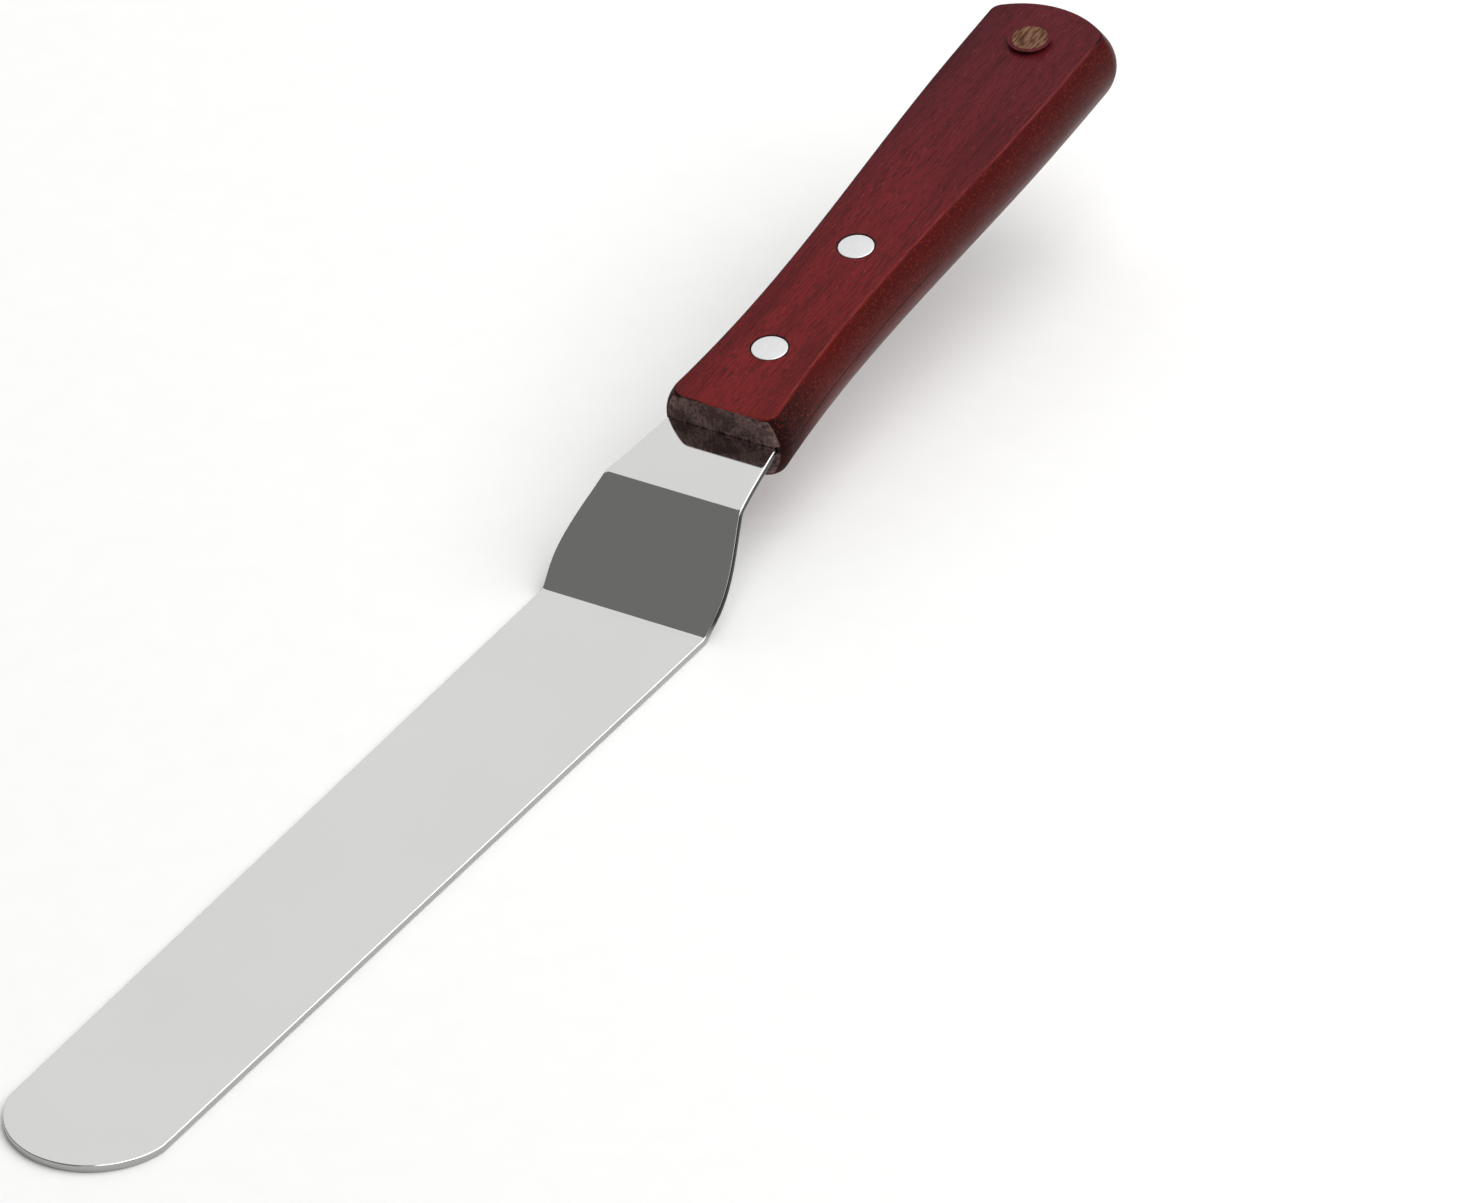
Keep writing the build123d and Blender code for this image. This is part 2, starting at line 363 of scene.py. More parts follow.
@dataclass(frozen=True)
class PolishedStainlessSteel:
    """Cold-rolled stainless sheet, buffed along its length, with no plating or lacquer.

    Buffing leaves a near mirror with a slight haze, drawn out into faint lengthwise lines, and a
    few soft clouds where the wheel pressed harder. The blanked edges are duller and greyer, and
    the edges behind the blade carry a near-black painted shade.
    """

    colour: str = "#CFCECC"
    clouded: str = "#C9C9C8"
    cut_edge: str = "#AFAFAD"
    # Near-black painted shade on the edges behind the blade
    edge_shade: str = "#2C2C2B"
    roughness: tuple[float, float] = (0.045, 0.075)
    edge_roughness: float = 0.35
    # Buffing lines are about 0.05 mm apart, too fine to show, so they are drawn 0.5 mm apart.
    line_spacing: float = 0.5
    line_length: float = 60.0
    cloud_size: float = 35.0
    line_depth: float = 0.0006

    def material(self) -> bpy.types.Material:
        """Build the finish.

        Returns:
            The material.
        """
        material, tree = new_material("polished stainless steel")
        coords = add_node(tree, "TexCoord")
        lines = add_node(
            tree,
            "Mapping",
            {"Vector": coords.outputs["Object"],
             "Scale": (1 / self.line_length / MM, 1 / self.line_spacing / MM, 1 / self.line_length / MM)},
        )
        buffing = add_node(
            tree, "TexNoise", {"Vector": lines.outputs[0], "Scale": 1.0, "Detail": 3.0, "Roughness": 0.6}
        )
        clouds = add_node(
            tree, "TexNoise",
            {"Vector": coords.outputs["Object"], "Scale": 1 / self.cloud_size / MM, "Detail": 2.0},
        )
        tint = add_node(
            tree, "Mix",
            {"Factor": clouds.outputs["Fac"], "A": linear(self.colour), "B": linear(self.clouded)},
            data_type="RGBA",
        )
        haze = add_node(
            tree, "MapRange",
            {"Value": buffing.outputs["Fac"], "From Min": 0.3, "From Max": 0.7,
             "To Min": self.roughness[0], "To Max": self.roughness[1]},
        )
        # Painted on the mesh: 1 on the ground edge of the blade, 2 on the edges behind it,
        # which get a near-black painted shade
        edge = add_node(tree, "Attribute", attribute_name="cut_edge").outputs["Fac"]
        shaded_edge = add_node(tree, "Math", {0: edge, 1: 1.0}, operation="SUBTRACT", use_clamp=True)
        edge_tint = add_node(
            tree, "Mix",
            {"Factor": shaded_edge.outputs[0], "A": linear(self.cut_edge), "B": linear(self.edge_shade)},
            data_type="RGBA",
        )
        colour = add_node(
            tree, "Mix",
            {"Factor": edge, "A": tint.outputs["Result"], "B": edge_tint.outputs["Result"]},
            data_type="RGBA",
        )
        rough = add_node(
            tree, "Mix", {"Factor": edge, "A": haze.outputs[0], "B": self.edge_roughness}, data_type="FLOAT"
        )
        bump = add_node(
            tree, "Bump",
            {"Height": buffing.outputs["Fac"], "Distance": self.line_depth * MM, "Strength": 0.4},
        )
        surface = add_node(
            tree, "BsdfPrincipled",
            {"Base Color": colour.outputs["Result"], "Metallic": 1.0, "Roughness": rough.outputs[0],
             "Normal": bump.outputs[0]},
        )
        add_node(tree, "OutputMaterial", {"Surface": surface.outputs[0]})
        return material


@dataclass(frozen=True)
class RivetAluminium:
    """Soft aluminium, upset in a press and linished flush with the wood.

    Linishing leaves it bright but not mirror-like, with short scuffs in every direction and a
    few shallow dents.
    """

    colour: str = "#DFDEDE"
    dulled: str = "#C4C5C7"
    roughness: tuple[float, float] = (0.26, 0.42)
    scuff_size: float = 0.7
    dent_size: float = 2.2
    dent_depth: float = 0.05

    def material(self) -> bpy.types.Material:
        """Build the finish.

        Returns:
            The material.
        """
        material, tree = new_material("linished aluminium")
        coords = add_node(tree, "TexCoord")
        scuffs = add_node(
            tree, "TexNoise",
            {"Vector": coords.outputs["Object"], "Scale": 1 / self.scuff_size / MM, "Detail": 4.0,
             "Distortion": 1.2},
        )
        dents = add_node(
            tree, "TexNoise",
            {"Vector": coords.outputs["Object"], "Scale": 1 / self.dent_size / MM, "Detail": 1.0},
        )
        tint = add_node(
            tree, "Mix",
            {"Factor": scuffs.outputs["Fac"], "A": linear(self.colour), "B": linear(self.dulled)},
            data_type="RGBA",
        )
        haze = add_node(
            tree, "MapRange",
            {"Value": scuffs.outputs["Fac"], "From Min": 0.3, "From Max": 0.7,
             "To Min": self.roughness[0], "To Max": self.roughness[1]},
        )
        bump = add_node(
            tree, "Bump", {"Height": dents.outputs["Fac"], "Distance": self.dent_depth * MM, "Strength": 0.5}
        )
        surface = add_node(
            tree, "BsdfPrincipled",
            {"Base Color": tint.outputs["Result"], "Metallic": 1.0, "Roughness": haze.outputs[0],
             "Normal": bump.outputs[0]},
        )
        add_node(tree, "OutputMaterial", {"Surface": surface.outputs[0]})
        return material


@dataclass(frozen=True)
class Streaks:
    """Grain that lies along the handle: its length and width in millimetres, and finer layers."""

    along: float
    across: float
    layers: float


@dataclass(frozen=True)
class Mottle:
    """Clumps as wide as they are long: how many to a millimetre, finer layers and their strength."""

    per_mm: float
    layers: float
    roughness: float


@dataclass(frozen=True)
class Span:
    """A value, the range of it that matters, and what comes out at that range's two ends."""

    value: bpy.types.NodeSocket
    start: float
    end: float
    low: float = 0.0
    high: float = 1.0


@dataclass(frozen=True)
class StainedHardwood:
    """Close-grained hardwood, shaped and sanded, dipped in red-brown stain and satin lacquer.

    The stain pools dark in the pores and in the end grain, which drinks the lacquer and stays
    rough. The hang hole is drilled after dipping, so its wall is raw wood. The colour also
    carries painted light: a painted shade on the sides and on the left and rear rims, and a
    painted highlight along the rims.
    """

    axes: HandleAxes
    front_red: str = "#721B1C"
    rear_red: str = "#5A1A22"
    dark_grain: str = "#36080B"
    # Painted shade on the sides
    shade_red: str = "#3C0B08"
    side_speck: str = "#6E2A1A"
    # Painted highlight along the rims
    highlight_red: str = "#8E3C30"
    left_dark: str = "#34121B"
    # Dark stain, also used as the painted shade on the left and rear rims
    front_dark: str = "#160809"
    pale_fleck: str = "#A85C50"
    end_dark: str = "#1D1413"
    end_brown: str = "#8C736E"
    end_fleck: str = "#D0C0BA"
    raw_dark: str = "#4E3226"
    raw_pale: str = "#8A654F"
    figure: Streaks = Streaks(55.0, 6.0, 3.0)
    fibre: Streaks = Streaks(7.0, 0.4, 3.0)
    pore: Streaks = Streaks(2.4, 0.3, 2.0)
    fleck: Streaks = Streaks(2.6, 0.3, 2.0)
    raw_fibre: Streaks = Streaks(3.0, 0.6, 4.0)
    side_specks: Mottle = Mottle(1.7, 3.0, 0.7)
    # Pores seen end on, so this noise is as wide as it is tall
    end_grain: Mottle = Mottle(1.3, 6.0, 0.75)
    end_patches: Mottle = Mottle(0.28, 4.0, 0.6)
    end_pores_per_mm: float = 1.9
    satin: float = 0.34
    dry: float = 0.9
    lacquer_gloss: float = 0.06
    half_width: float = 15.8
    end_reach: float = 0.8
    rim_reach: float = 0.08
    hole_fray: float = 0.45
    front_side_dullness: float = 0.55
    relief_depth: float = 0.03
    fibre_relief: float = 0.5
    torn_relief: float = 16.0

    def streaks(
        self, tree: bpy.types.NodeTree, place_mm: bpy.types.NodeSocket, size: Streaks
    ) -> bpy.types.NodeSocket:
        """Make noise whose clumps lie along the handle.

        Args:
            tree: The material's nodes.
            place_mm: The place on the handle in millimetres.
            size: The clumps' size.

        Returns:
            The noise, from 0 to 1.
        """
        squeeze = (1 / size.along, 1 / size.across, 1 / size.across)
        stretched = add_node(tree, "VectorMath", {0: place_mm, 1: squeeze}, operation="MULTIPLY")
        noise = add_node(
            tree, "TexNoise", {"Vector": stretched.outputs[0], "Scale": 1.0, "Detail": size.layers}
        )
        return noise.outputs["Fac"]

    def off_axis(
        self, tree: bpy.types.NodeTree, place_mm: bpy.types.NodeSocket, station: float
    ) -> bpy.types.NodeSocket:
        """Measure how far a place is from a hole's or a rivet's axis.

        Args:
            tree: The material's nodes.
            place_mm: The place on the handle in millimetres.
            station: Where the axis is.

        Returns:
            The distance in millimetres.
        """
        out = add_node(tree, "VectorMath", {0: place_mm, 1: (-station, 0.0, 0.0)}, operation="ADD")
        flat = add_node(tree, "VectorMath", {0: out.outputs[0], 1: (1.0, 1.0, 0.0)}, operation="MULTIPLY")
        return add_node(tree, "VectorMath", {0: flat.outputs[0]}, operation="LENGTH").outputs["Value"]

    def values(self, tree: bpy.types.NodeTree) -> dict[str, bpy.types.NodeSocket]:
        """Measure where a point lies on the handle, and make the noises of its grain.

        Args:
            tree: The material's nodes.

        Returns:
            Each value by its name. Places and distances are in millimetres.
        """
        coords = add_node(tree, "TexCoord")
        # Handle axes in millimetres: station, sideways and height
        handle = add_node(
            tree, "Mapping",
            {"Vector": coords.outputs["Object"], "Location": self.axes.origin,
             "Rotation": self.axes.turn.to_euler(), "Scale": (MM, MM, MM)},
            vector_type="TEXTURE",
        ).outputs[0]
        split = add_node(tree, "SeparateXYZ", {0: handle})
        front_rivet, rear_rivet = self.axes.rivet_stations
        found = {
            "station": split.outputs["X"],
            "left": split.outputs["Y"],
            "level": add_node(tree, "Math", {0: split.outputs["Z"]}, operation="ABSOLUTE").outputs[0],
            "hole": self.off_axis(tree, handle, self.axes.hole_station),
            "front_rivet": self.off_axis(tree, handle, front_rivet),
            "rear_rivet": self.off_axis(tree, handle, rear_rivet),
        }
        streaks = {
            "figure": self.figure, "fibre": self.fibre, "pore": self.pore, "fleck": self.fleck,
            "raw_fibre": self.raw_fibre,
        }
        for name, size in streaks.items():
            found[name] = self.streaks(tree, handle, size)
        mottles = {
            "side_specks": self.side_specks, "end_grain": self.end_grain,
            "end_patches": self.end_patches,
        }
        for name, size in mottles.items():
            found[name] = add_node(
                tree, "TexNoise",
                {"Vector": handle, "Scale": size.per_mm, "Detail": size.layers,
                 "Roughness": size.roughness},
            ).outputs["Fac"]
        pores = add_node(
            tree, "TexVoronoi", {"Vector": handle, "Scale": self.end_pores_per_mm}, feature="F1"
        )
        found["end_pores"] = pores.outputs["Distance"]
        # End grain shows on the front face and some way round its corners, but not past its rims
        rim = self.axes.thickness / 2
        reach = add_node(
            tree, "MapRange",
            {"Value": found["level"], "From Min": rim - 0.9, "From Max": rim - 0.3,
             "To Min": self.end_reach, "To Max": self.rim_reach},
            interpolation_type="SMOOTHSTEP",
        )
        behind = add_node(
            tree, "Math", {0: found["station"], 1: reach.outputs[0]}, operation="SUBTRACT"
        )
        # Torn edges: each distance wanders with the end grain
        torn = {
            "chipped": (1.6, found["level"]), "ragged": (0.9, found["hole"]),
            "frayed": (0.6, behind.outputs[0]),
        }
        for name, (wander, distance) in torn.items():
            found[name] = add_node(
                tree, "Math", {0: found["end_grain"], 1: wander, 2: distance}, operation="MULTIPLY_ADD"
            ).outputs[0]
        return found

    def masks(
        self, tree: bpy.types.NodeTree, values: dict[str, bpy.types.NodeSocket]
    ) -> dict[str, bpy.types.NodeSocket]:
        """Say how far each colour and finish covers a point.

        Args:
            tree: The material's nodes.
            values: What was measured there.

        Returns:
            Each mask by its name, mostly from 0 to 1.
        """
        rim = self.axes.thickness / 2
        length, kerf_length = self.axes.length, self.axes.kerf_length
        kerf = self.axes.kerf_gap / 2
        head = self.axes.rivet_head_radius
        edge = self.axes.hole_radius + self.hole_fray
        station, left, level = values["station"], values["left"], values["level"]
        fibre, pore, end_grain = values["fibre"], values["pore"], values["end_grain"]
        spans = {
            "rearwards": Span(station, 0.0, length),
            "leftwards": Span(left, 0.2 * self.half_width, 1.1 * self.half_width, high=0.6),
            "figured": Span(values["figure"], 0.42, 0.75, high=0.55),
            "fibrous": Span(fibre, 0.46, 0.74, high=0.7),
            "porous": Span(pore, 0.53, 0.66, high=0.8),
            "flecked": Span(values["fleck"], 0.64, 0.78, high=0.45),
            # The rims: a painted highlight along them, broken up by the fibres, and a painted shade on the
            # left and rear rims
            "below_flat": Span(level, rim - 0.01, rim - 0.04),
            "above_side": Span(level, rim - 0.5, rim - 0.25),
            "highlight_patches": Span(fibre, 0.42, 0.66, 0.05, 0.5),
            "on_left": Span(left, 1.0, 6.0),
            "at_rear": Span(station, length - 14.0, length - 9.0),
            # Painted shade on the sides, which are also darker towards the front
            "on_side": Span(level, rim - 0.1, rim - 0.9),
            "side_shade": Span(level, rim - 0.1, rim - 0.9, high=0.7),
            "towards_front": Span(station, 24.0, 2.0, high=0.9),
            # Fine pale specks of grain show against the sides' painted shade
            "specks": Span(values["side_specks"], 0.5, 0.7, high=0.75),
            # Stain gathers in the gap round each rivet head
            "front_ring": Span(values["front_rivet"], head + 0.4, head + 0.12, high=0.85),
            "rear_ring": Span(values["rear_rivet"], head + 0.4, head + 0.12, high=0.85),
            # End grain, darker in patches, and chipped where the slot's edges hold the stain
            "end_body": Span(end_grain, 0.25, 0.65),
            "end_patches": Span(values["end_patches"], 0.58, 0.4, high=0.55),
            "end_flecks": Span(end_grain, 0.64, 0.72, high=0.9),
            "end_pores": Span(values["end_pores"], 0.16, 0.06, high=0.8),
            "chipped": Span(values["chipped"], 1.85, 1.6, high=0.9),
            "at_end": Span(values["frayed"], 0.5, 0.2),
            # Raw wall of the hang hole
            "raw_body": Span(values["raw_fibre"], 0.35, 0.65),
            "in_hole": Span(values["ragged"], edge + 0.25, edge + 0.05),
            # The saw kerf stays dark with stain
            "in_gap": Span(level, kerf + 0.04, kerf + 0.01),
            "in_front": Span(station, kerf_length + 0.1, kerf_length),
            # Satin varies with the fibres, and lacquer sinks a little in the pores
            "sheen": Span(fibre, 0.3, 0.8, self.satin - 0.05, self.satin + 0.08),
            "pore_relief": Span(pore, 0.6, 0.75, 0.0, -1.0),
        }
        masks = {
            name: add_node(
                tree, "MapRange",
                {"Value": span.value, "From Min": span.start, "From Max": span.end,
                 "To Min": span.low, "To Max": span.high},
                interpolation_type="SMOOTHSTEP",
            ).outputs[0]
            for name, span in spans.items()
        }
        joined = (
            ("on_rim", "MULTIPLY", "below_flat", "above_side"),
            # Painted shade on the left and rear rims
            ("left_and_rear", "MAXIMUM", "on_left", "at_rear"),
            ("stained", "MULTIPLY", "on_rim", "left_and_rear"),
            # Painted highlight along the rims, broken up by the fibres
            ("rim_highlight", "MULTIPLY", "on_rim", "highlight_patches"),
            # Darker, and rougher, towards the front of the sides
            ("front_sides", "MULTIPLY", "on_side", "towards_front"),
            ("speckled", "MULTIPLY", "on_side", "specks"),
            ("in_kerf", "MULTIPLY", "in_gap", "in_front"),
            ("bare", "MAXIMUM", "at_end", "in_hole"),
        )
        for name, operation, one, other in joined:
            masks[name] = add_node(
                tree, "Math", {0: masks[one], 1: masks[other]}, operation=operation
            ).outputs[0]
        return masks

    def layered(
        self, tree: bpy.types.NodeTree, under: object,
        layers: tuple[tuple[bpy.types.NodeSocket, object], ...],
    ) -> bpy.types.NodeSocket:
        """Lay colours one over another, each as far as its mask says.

        Args:
            tree: The material's nodes.
            under: The colour that everything lies on, as a hex string or a socket.
            layers: Each layer's mask and its colour, from the lowest to the top.

        Returns:
            The colour that shows.
        """
        colour = linear(under) if isinstance(under, str) else under
        for mask, over in layers:
            over = linear(over) if isinstance(over, str) else over
            stack = {"Factor": mask, "A": colour, "B": over}
            colour = add_node(tree, "Mix", stack, data_type="RGBA").outputs["Result"]
        return colour

    def material(self) -> bpy.types.Material:
        """Build the finish.

        Returns:
            The material.
        """
        material, tree = new_material("stained and lacquered hardwood")
        values = self.values(tree)
        masks = self.masks(tree, values)
        body = self.layered(tree, self.front_red, (
            (masks["rearwards"], self.rear_red),
            (masks["leftwards"], self.left_dark),
            (masks["figured"], self.dark_grain),
            (masks["fibrous"], self.dark_grain),
            (masks["porous"], self.dark_grain),
            (masks["flecked"], self.pale_fleck),
            # Painted shade on the sides
            (masks["side_shade"], self.shade_red),
            # Darker towards the front of the sides
            (masks["front_sides"], self.front_dark),
            # Painted highlight along the rims
            (masks["rim_highlight"], self.highlight_red),
            # Painted shade on the left and rear rims
            (masks["stained"], self.front_dark),
            (masks["speckled"], self.side_speck),
            (masks["front_ring"], self.front_dark),
            (masks["rear_ring"], self.front_dark),
        ))
        end = self.layered(tree, self.end_dark, (
            (masks["end_body"], self.end_brown),
            (masks["end_patches"], self.end_dark),
            (masks["end_flecks"], self.end_fleck),
            (masks["end_pores"], self.end_dark),
            (masks["chipped"], self.end_dark),
        ))
        raw = self.layered(tree, self.raw_dark, ((masks["raw_body"], self.raw_pale),))
        colour = self.layered(tree, body, (
            (masks["at_end"], end), (masks["in_hole"], raw), (masks["in_kerf"], self.end_dark),
        ))
        starved = add_node(
            tree, "Math", {0: masks["front_sides"], 1: self.front_side_dullness, 2: masks["bare"]},
            operation="MULTIPLY_ADD", use_clamp=True,
        )
        rough = add_node(
            tree, "Mix", {"Factor": starved.outputs[0], "A": masks["sheen"], "B": self.dry},
            data_type="FLOAT",
        )
        # Lacquer bridges the fibres but sinks a little in the pores; bare wood is torn and open
        relief = add_node(
            tree, "Math", {0: values["fibre"], 1: self.fibre_relief, 2: masks["pore_relief"]},
            operation="MULTIPLY_ADD",
        )
        torn = add_node(
            tree, "Math", {0: values["end_grain"], 1: self.torn_relief}, operation="MULTIPLY"
        )
        height = add_node(
            tree, "Mix", {"Factor": masks["bare"], "A": relief.outputs[0], "B": torn.outputs[0]},
            data_type="FLOAT",
        )
        bump = add_node(
            tree, "Bump",
            {"Height": height.outputs[0], "Distance": self.relief_depth * MM, "Strength": 1.0},
        )
        surface = add_node(
            tree, "BsdfPrincipled",
            {"Base Color": colour, "Roughness": rough.outputs[0], "Normal": bump.outputs[0],
             "IOR": 1.5, "Specular IOR Level": self.lacquer_gloss},
        )
        add_node(tree, "OutputMaterial", {"Surface": surface.outputs[0]})
        return material


@dataclass(frozen=True)
class StudioPaper:
    """Matt white studio paper: bright, with the faintest mottle of its fibres."""

    colour: str = "#F4F4F3"
    mottled: str = "#F0F0EF"
    mottle_size: float = 8.0

    def material(self) -> bpy.types.Material:
        """Build the finish.

        Returns:
            The material.
        """
        material, tree = new_material("white studio paper")
        coords = add_node(tree, "TexCoord")
        mottle = add_node(
            tree, "TexNoise",
            {"Vector": coords.outputs["Object"], "Scale": 1 / self.mottle_size / MM, "Detail": 3.0},
        )
        tint = add_node(
            tree, "Mix",
            {"Factor": mottle.outputs["Fac"], "A": linear(self.colour), "B": linear(self.mottled)},
            data_type="RGBA",
        )
        surface = add_node(
            tree, "BsdfPrincipled", {"Base Color": tint.outputs["Result"], "Roughness": 0.9}
        )
        add_node(tree, "OutputMaterial", {"Surface": surface.outputs[0]})
        return material


# ---------------------------------------------------------------- blade


@dataclass(frozen=True)
class Blade:
    """The sheet: flat blade, riser, neck and the tang inside the handle, bent from one strip.

    Stations run along the middle of the sheet, rearwards from the tip.
    """

    axes: HandleAxes
    thickness: float = 1.6
    flat_length: float = 214.0
    root_width: float = 38.7
    tip_width: float = 35.2
    tip_radius: float = 17.9
    riser_length: float = 27.4
    riser_angle: float = 41.2
    handle_pitch: float = 8.1
    lower_bend_radius: float = 2.8
    upper_bend_radius: float = 3.8
    shoulder_width: float = 39.6
    shoulder_station: float = 5.5
    neck_root_width: float = 32.2
    neck_end_width: float = 25.8
    neck_length: float = 19.5
    tang_root_width: float = 25.2
    tang_width: float = 16.0
    tang_taper: float = 16.0
    tang_length: float = 64.8
    tang_end_round: float = 4.0
    edge_round: float = 0.3
    neck_step: tuple[float, float] = (0.1, 0.5)
    rivet_hole_radius: float = 2.65
    drill_reach: float = 3.0
    drill_steps: int = 48
    crease_angle: float = 35.0

    @property
    def bends(self) -> np.ndarray:
        """Stations where the sheet's slope starts or stops changing, from tip to tang end.

        Returns:
            Six stations in millimetres.
        """
        lower_turn = math.radians(self.riser_angle)
        upper_turn = math.radians(self.riser_angle - self.handle_pitch)
        lower_cut = self.lower_bend_radius * math.tan(lower_turn / 2)
        upper_cut = self.upper_bend_radius * math.tan(upper_turn / 2)
        steps = [
            0.0,
            self.flat_length - lower_cut,
            self.lower_bend_radius * lower_turn,
            self.riser_length - lower_cut - upper_cut,
            self.upper_bend_radius * upper_turn,
            self.neck_length + self.tang_length - upper_cut,
        ]
        return np.cumsum(steps)

    @property
    def slopes(self) -> np.ndarray:
        """The sheet's slope in degrees at each of those stations."""
        return np.array([0, 0, self.riser_angle, self.riser_angle, self.handle_pitch, self.handle_pitch])

    def on_sheet(self, station: np.ndarray, side: np.ndarray, height: np.ndarray) -> np.ndarray:
        """Take flat-sheet places to the bent sheet.

        The middle line is the running sum of short steps along the slope; a point stands off it
        by its height, square to the sheet.

        Args:
            station: Distance from the tip along the sheet, in millimetres.
            side: Distance from the middle line across the sheet.
            height: Distance from the sheet's mid-plane, up positive.

        Returns:
            Points in metres.
        """
        fine = np.linspace(0, self.bends[-1], 12001)
        slope = np.radians(np.interp(fine, self.bends, self.slopes))
        step = np.diff(fine)
        ahead, up = ((f(slope)[1:] + f(slope)[:-1]) / 2 * step for f in (np.cos, np.sin))
        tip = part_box("blade")[1].x / MM
        line_x = tip - np.concatenate([[0], np.cumsum(ahead)])
        line_z = self.thickness / 2 + np.concatenate([[0], np.cumsum(up)])
        tilt = np.radians(np.interp(station, self.bends, self.slopes))
        x = np.interp(station, fine, line_x) + height * np.sin(tilt)
        z = np.interp(station, fine, line_z) + height * np.cos(tilt)
        return np.stack([x, side, z], -1) * MM

    def half_outline(self) -> np.ndarray:
        """Draw one side of the sheet's outline from the tip's middle to the tang end's middle.

        The tip is an arc, the flat's side is straight, one smooth curve runs through shoulder,
        bend and neck end, the tang tapers, and its end is half an ellipse.

        Returns:
            Station and half width of each point, in millimetres.
        """
        bends = self.bends
        corner = math.asin(self.tip_width / 2 / self.tip_radius)
        turn = np.linspace(0, corner, 30)
        tip = np.stack([self.tip_radius * (1 - np.cos(turn)), self.tip_radius * np.sin(turn)], 1)

        front = bends[-1] - self.tang_length
        neck_end, tang_start = front - self.neck_step[0], front + self.neck_step[1]
        slope_in = (self.root_width - self.tip_width) / 2 / (self.flat_length - tip[-1, 0])
        knots = np.array([self.flat_length, self.flat_length + self.shoulder_station,
                          (bends[3] + bends[4]) / 2, neck_end])
        halves = np.array([self.root_width, self.shoulder_width, self.neck_root_width,
                           self.neck_end_width]) / 2
        slope_out = (self.neck_end_width - self.neck_root_width) / 2 / self.neck_length
        # Flat, lower bend, riser, upper bend and neck, each with its own count of points
        ends = (tip[-1, 0], *bends[1:5], neck_end)
        stations = np.concatenate([
            np.linspace(start, stop, count)[1:]
            for start, stop, count in zip(ends, ends[1:], (50, 11, 24, 11, 20))
        ])
        straight = self.tip_width / 2 + slope_in * (stations - tip[-1, 0])
        curved = clamped_spline(knots, halves, (slope_in, slope_out), stations)
        sides = np.stack([stations, np.where(stations < self.flat_length, straight, curved)], 1)

        end = bends[-1]
        tang_stations = np.concatenate([
            np.linspace(tang_start, front + self.tang_taper, 10),
            np.linspace(front + self.tang_taper, end - self.tang_end_round, 14)[1:],
        ])
        tang_halves = np.interp(
            tang_stations,
            [front, front + self.tang_taper, end],
            np.array([self.tang_root_width, self.tang_width, self.tang_width]) / 2,
        )
        turn = np.linspace(0, math.pi / 2, 12)[1:]
        rounded = np.stack([
            end - self.tang_end_round * (1 - np.sin(turn)), self.tang_width / 2 * np.cos(turn)
        ], 1)
        return np.vstack([tip, sides, np.stack([tang_stations, tang_halves], 1), rounded])

    def sheet(self) -> bpy.types.Object:
        """Build the sheet before it is drilled.

        One parameter runs along the half outline and the other round the sheet: straight rows
        across the top and the bottom, and a rounded edge on each side, set in from the outline
        along its normal.

        Returns:
            The bent sheet, with its edges' finish painted on it, and a painted shade on the edges behind the
            blade.
        """
        outline = self.half_outline()
        outline[-1, 1] = 0.0
        normal = corner_normals(outline)
        normal[0], normal[-1] = (-1, 0), (1, 0)
        radius, half = self.edge_round, self.thickness / 2

        turn = np.linspace(math.pi / 2, 0, 6)
        set_in = radius * np.cos(turn) - radius
        rise = half - radius + radius * np.sin(turn)
        edge_in = np.concatenate([set_in, set_in[::-1]])
        edge_up = np.concatenate([rise, -rise[::-1]])
        share = np.array([-0.97, -0.85, -0.6, -0.3, 0, 0.3, 0.6, 0.85, 0.97])

        station, width = outline[:, :1], outline[:, 1:]
        edge_station = station + normal[:, :1] * edge_in
        edge_side = np.clip(width + normal[:, 1:] * edge_in, 0, None)
        row_station = np.broadcast_to(edge_station[:, :1], (len(outline), len(share)))
        row_side = edge_side[:, :1] * share
        top = np.full(len(share), half)
        stations = np.hstack([row_station, edge_station, row_station, edge_station[:, ::-1]])
        sides = np.hstack([row_side, edge_side, row_side[:, ::-1], -edge_side[:, ::-1]])
        heights = np.concatenate([top, edge_up, -top, edge_up[::-1]])
        heights = np.broadcast_to(heights, stations.shape)
        # The arris stays polished, but not up the riser; the edges behind the blade get a 2, which
        # the finish paints near-black as painted shade
        over_edge = (half - np.abs(heights)) / radius
        ground = np.clip(2 * over_edge - 1, 0, 1)
        _, riser_foot, _, _, riser_top, _ = self.bends
        past_foot, short_of_top = (stations - riser_foot) / 2.0, (riser_top - stations) / 2.0
        up_riser = np.clip(past_foot, 0, 1) * np.clip(short_of_top, 0, 1)
        cut_edge = ground + (np.clip(6 * over_edge, 0, 1) - ground) * up_riser
        cut_edge = cut_edge * (1 + np.clip((stations - self.flat_length) / 4.0, 0, 1))
        return surface_object(
            "spatula_blade", self.on_sheet(stations, sides, heights), True, ("cut_edge", cut_edge)
        )

    def piece(self) -> bpy.types.Object:
        """Build the sheet and drill its rivet holes.

        Returns:
            The blade.
        """
        blade = self.sheet()
        radius, reach = self.rivet_hole_radius, self.drill_reach
        hole = np.array([[0, -reach], [radius, -reach], [radius, reach], [0, reach]])
        for station in self.axes.rivet_stations:
            cut(blade, turned("hole_tool", self.axes, station, hole, self.drill_steps))
        smooth_up_to(blade, self.crease_angle)
        return blade


# ---------------------------------------------------------------- handle


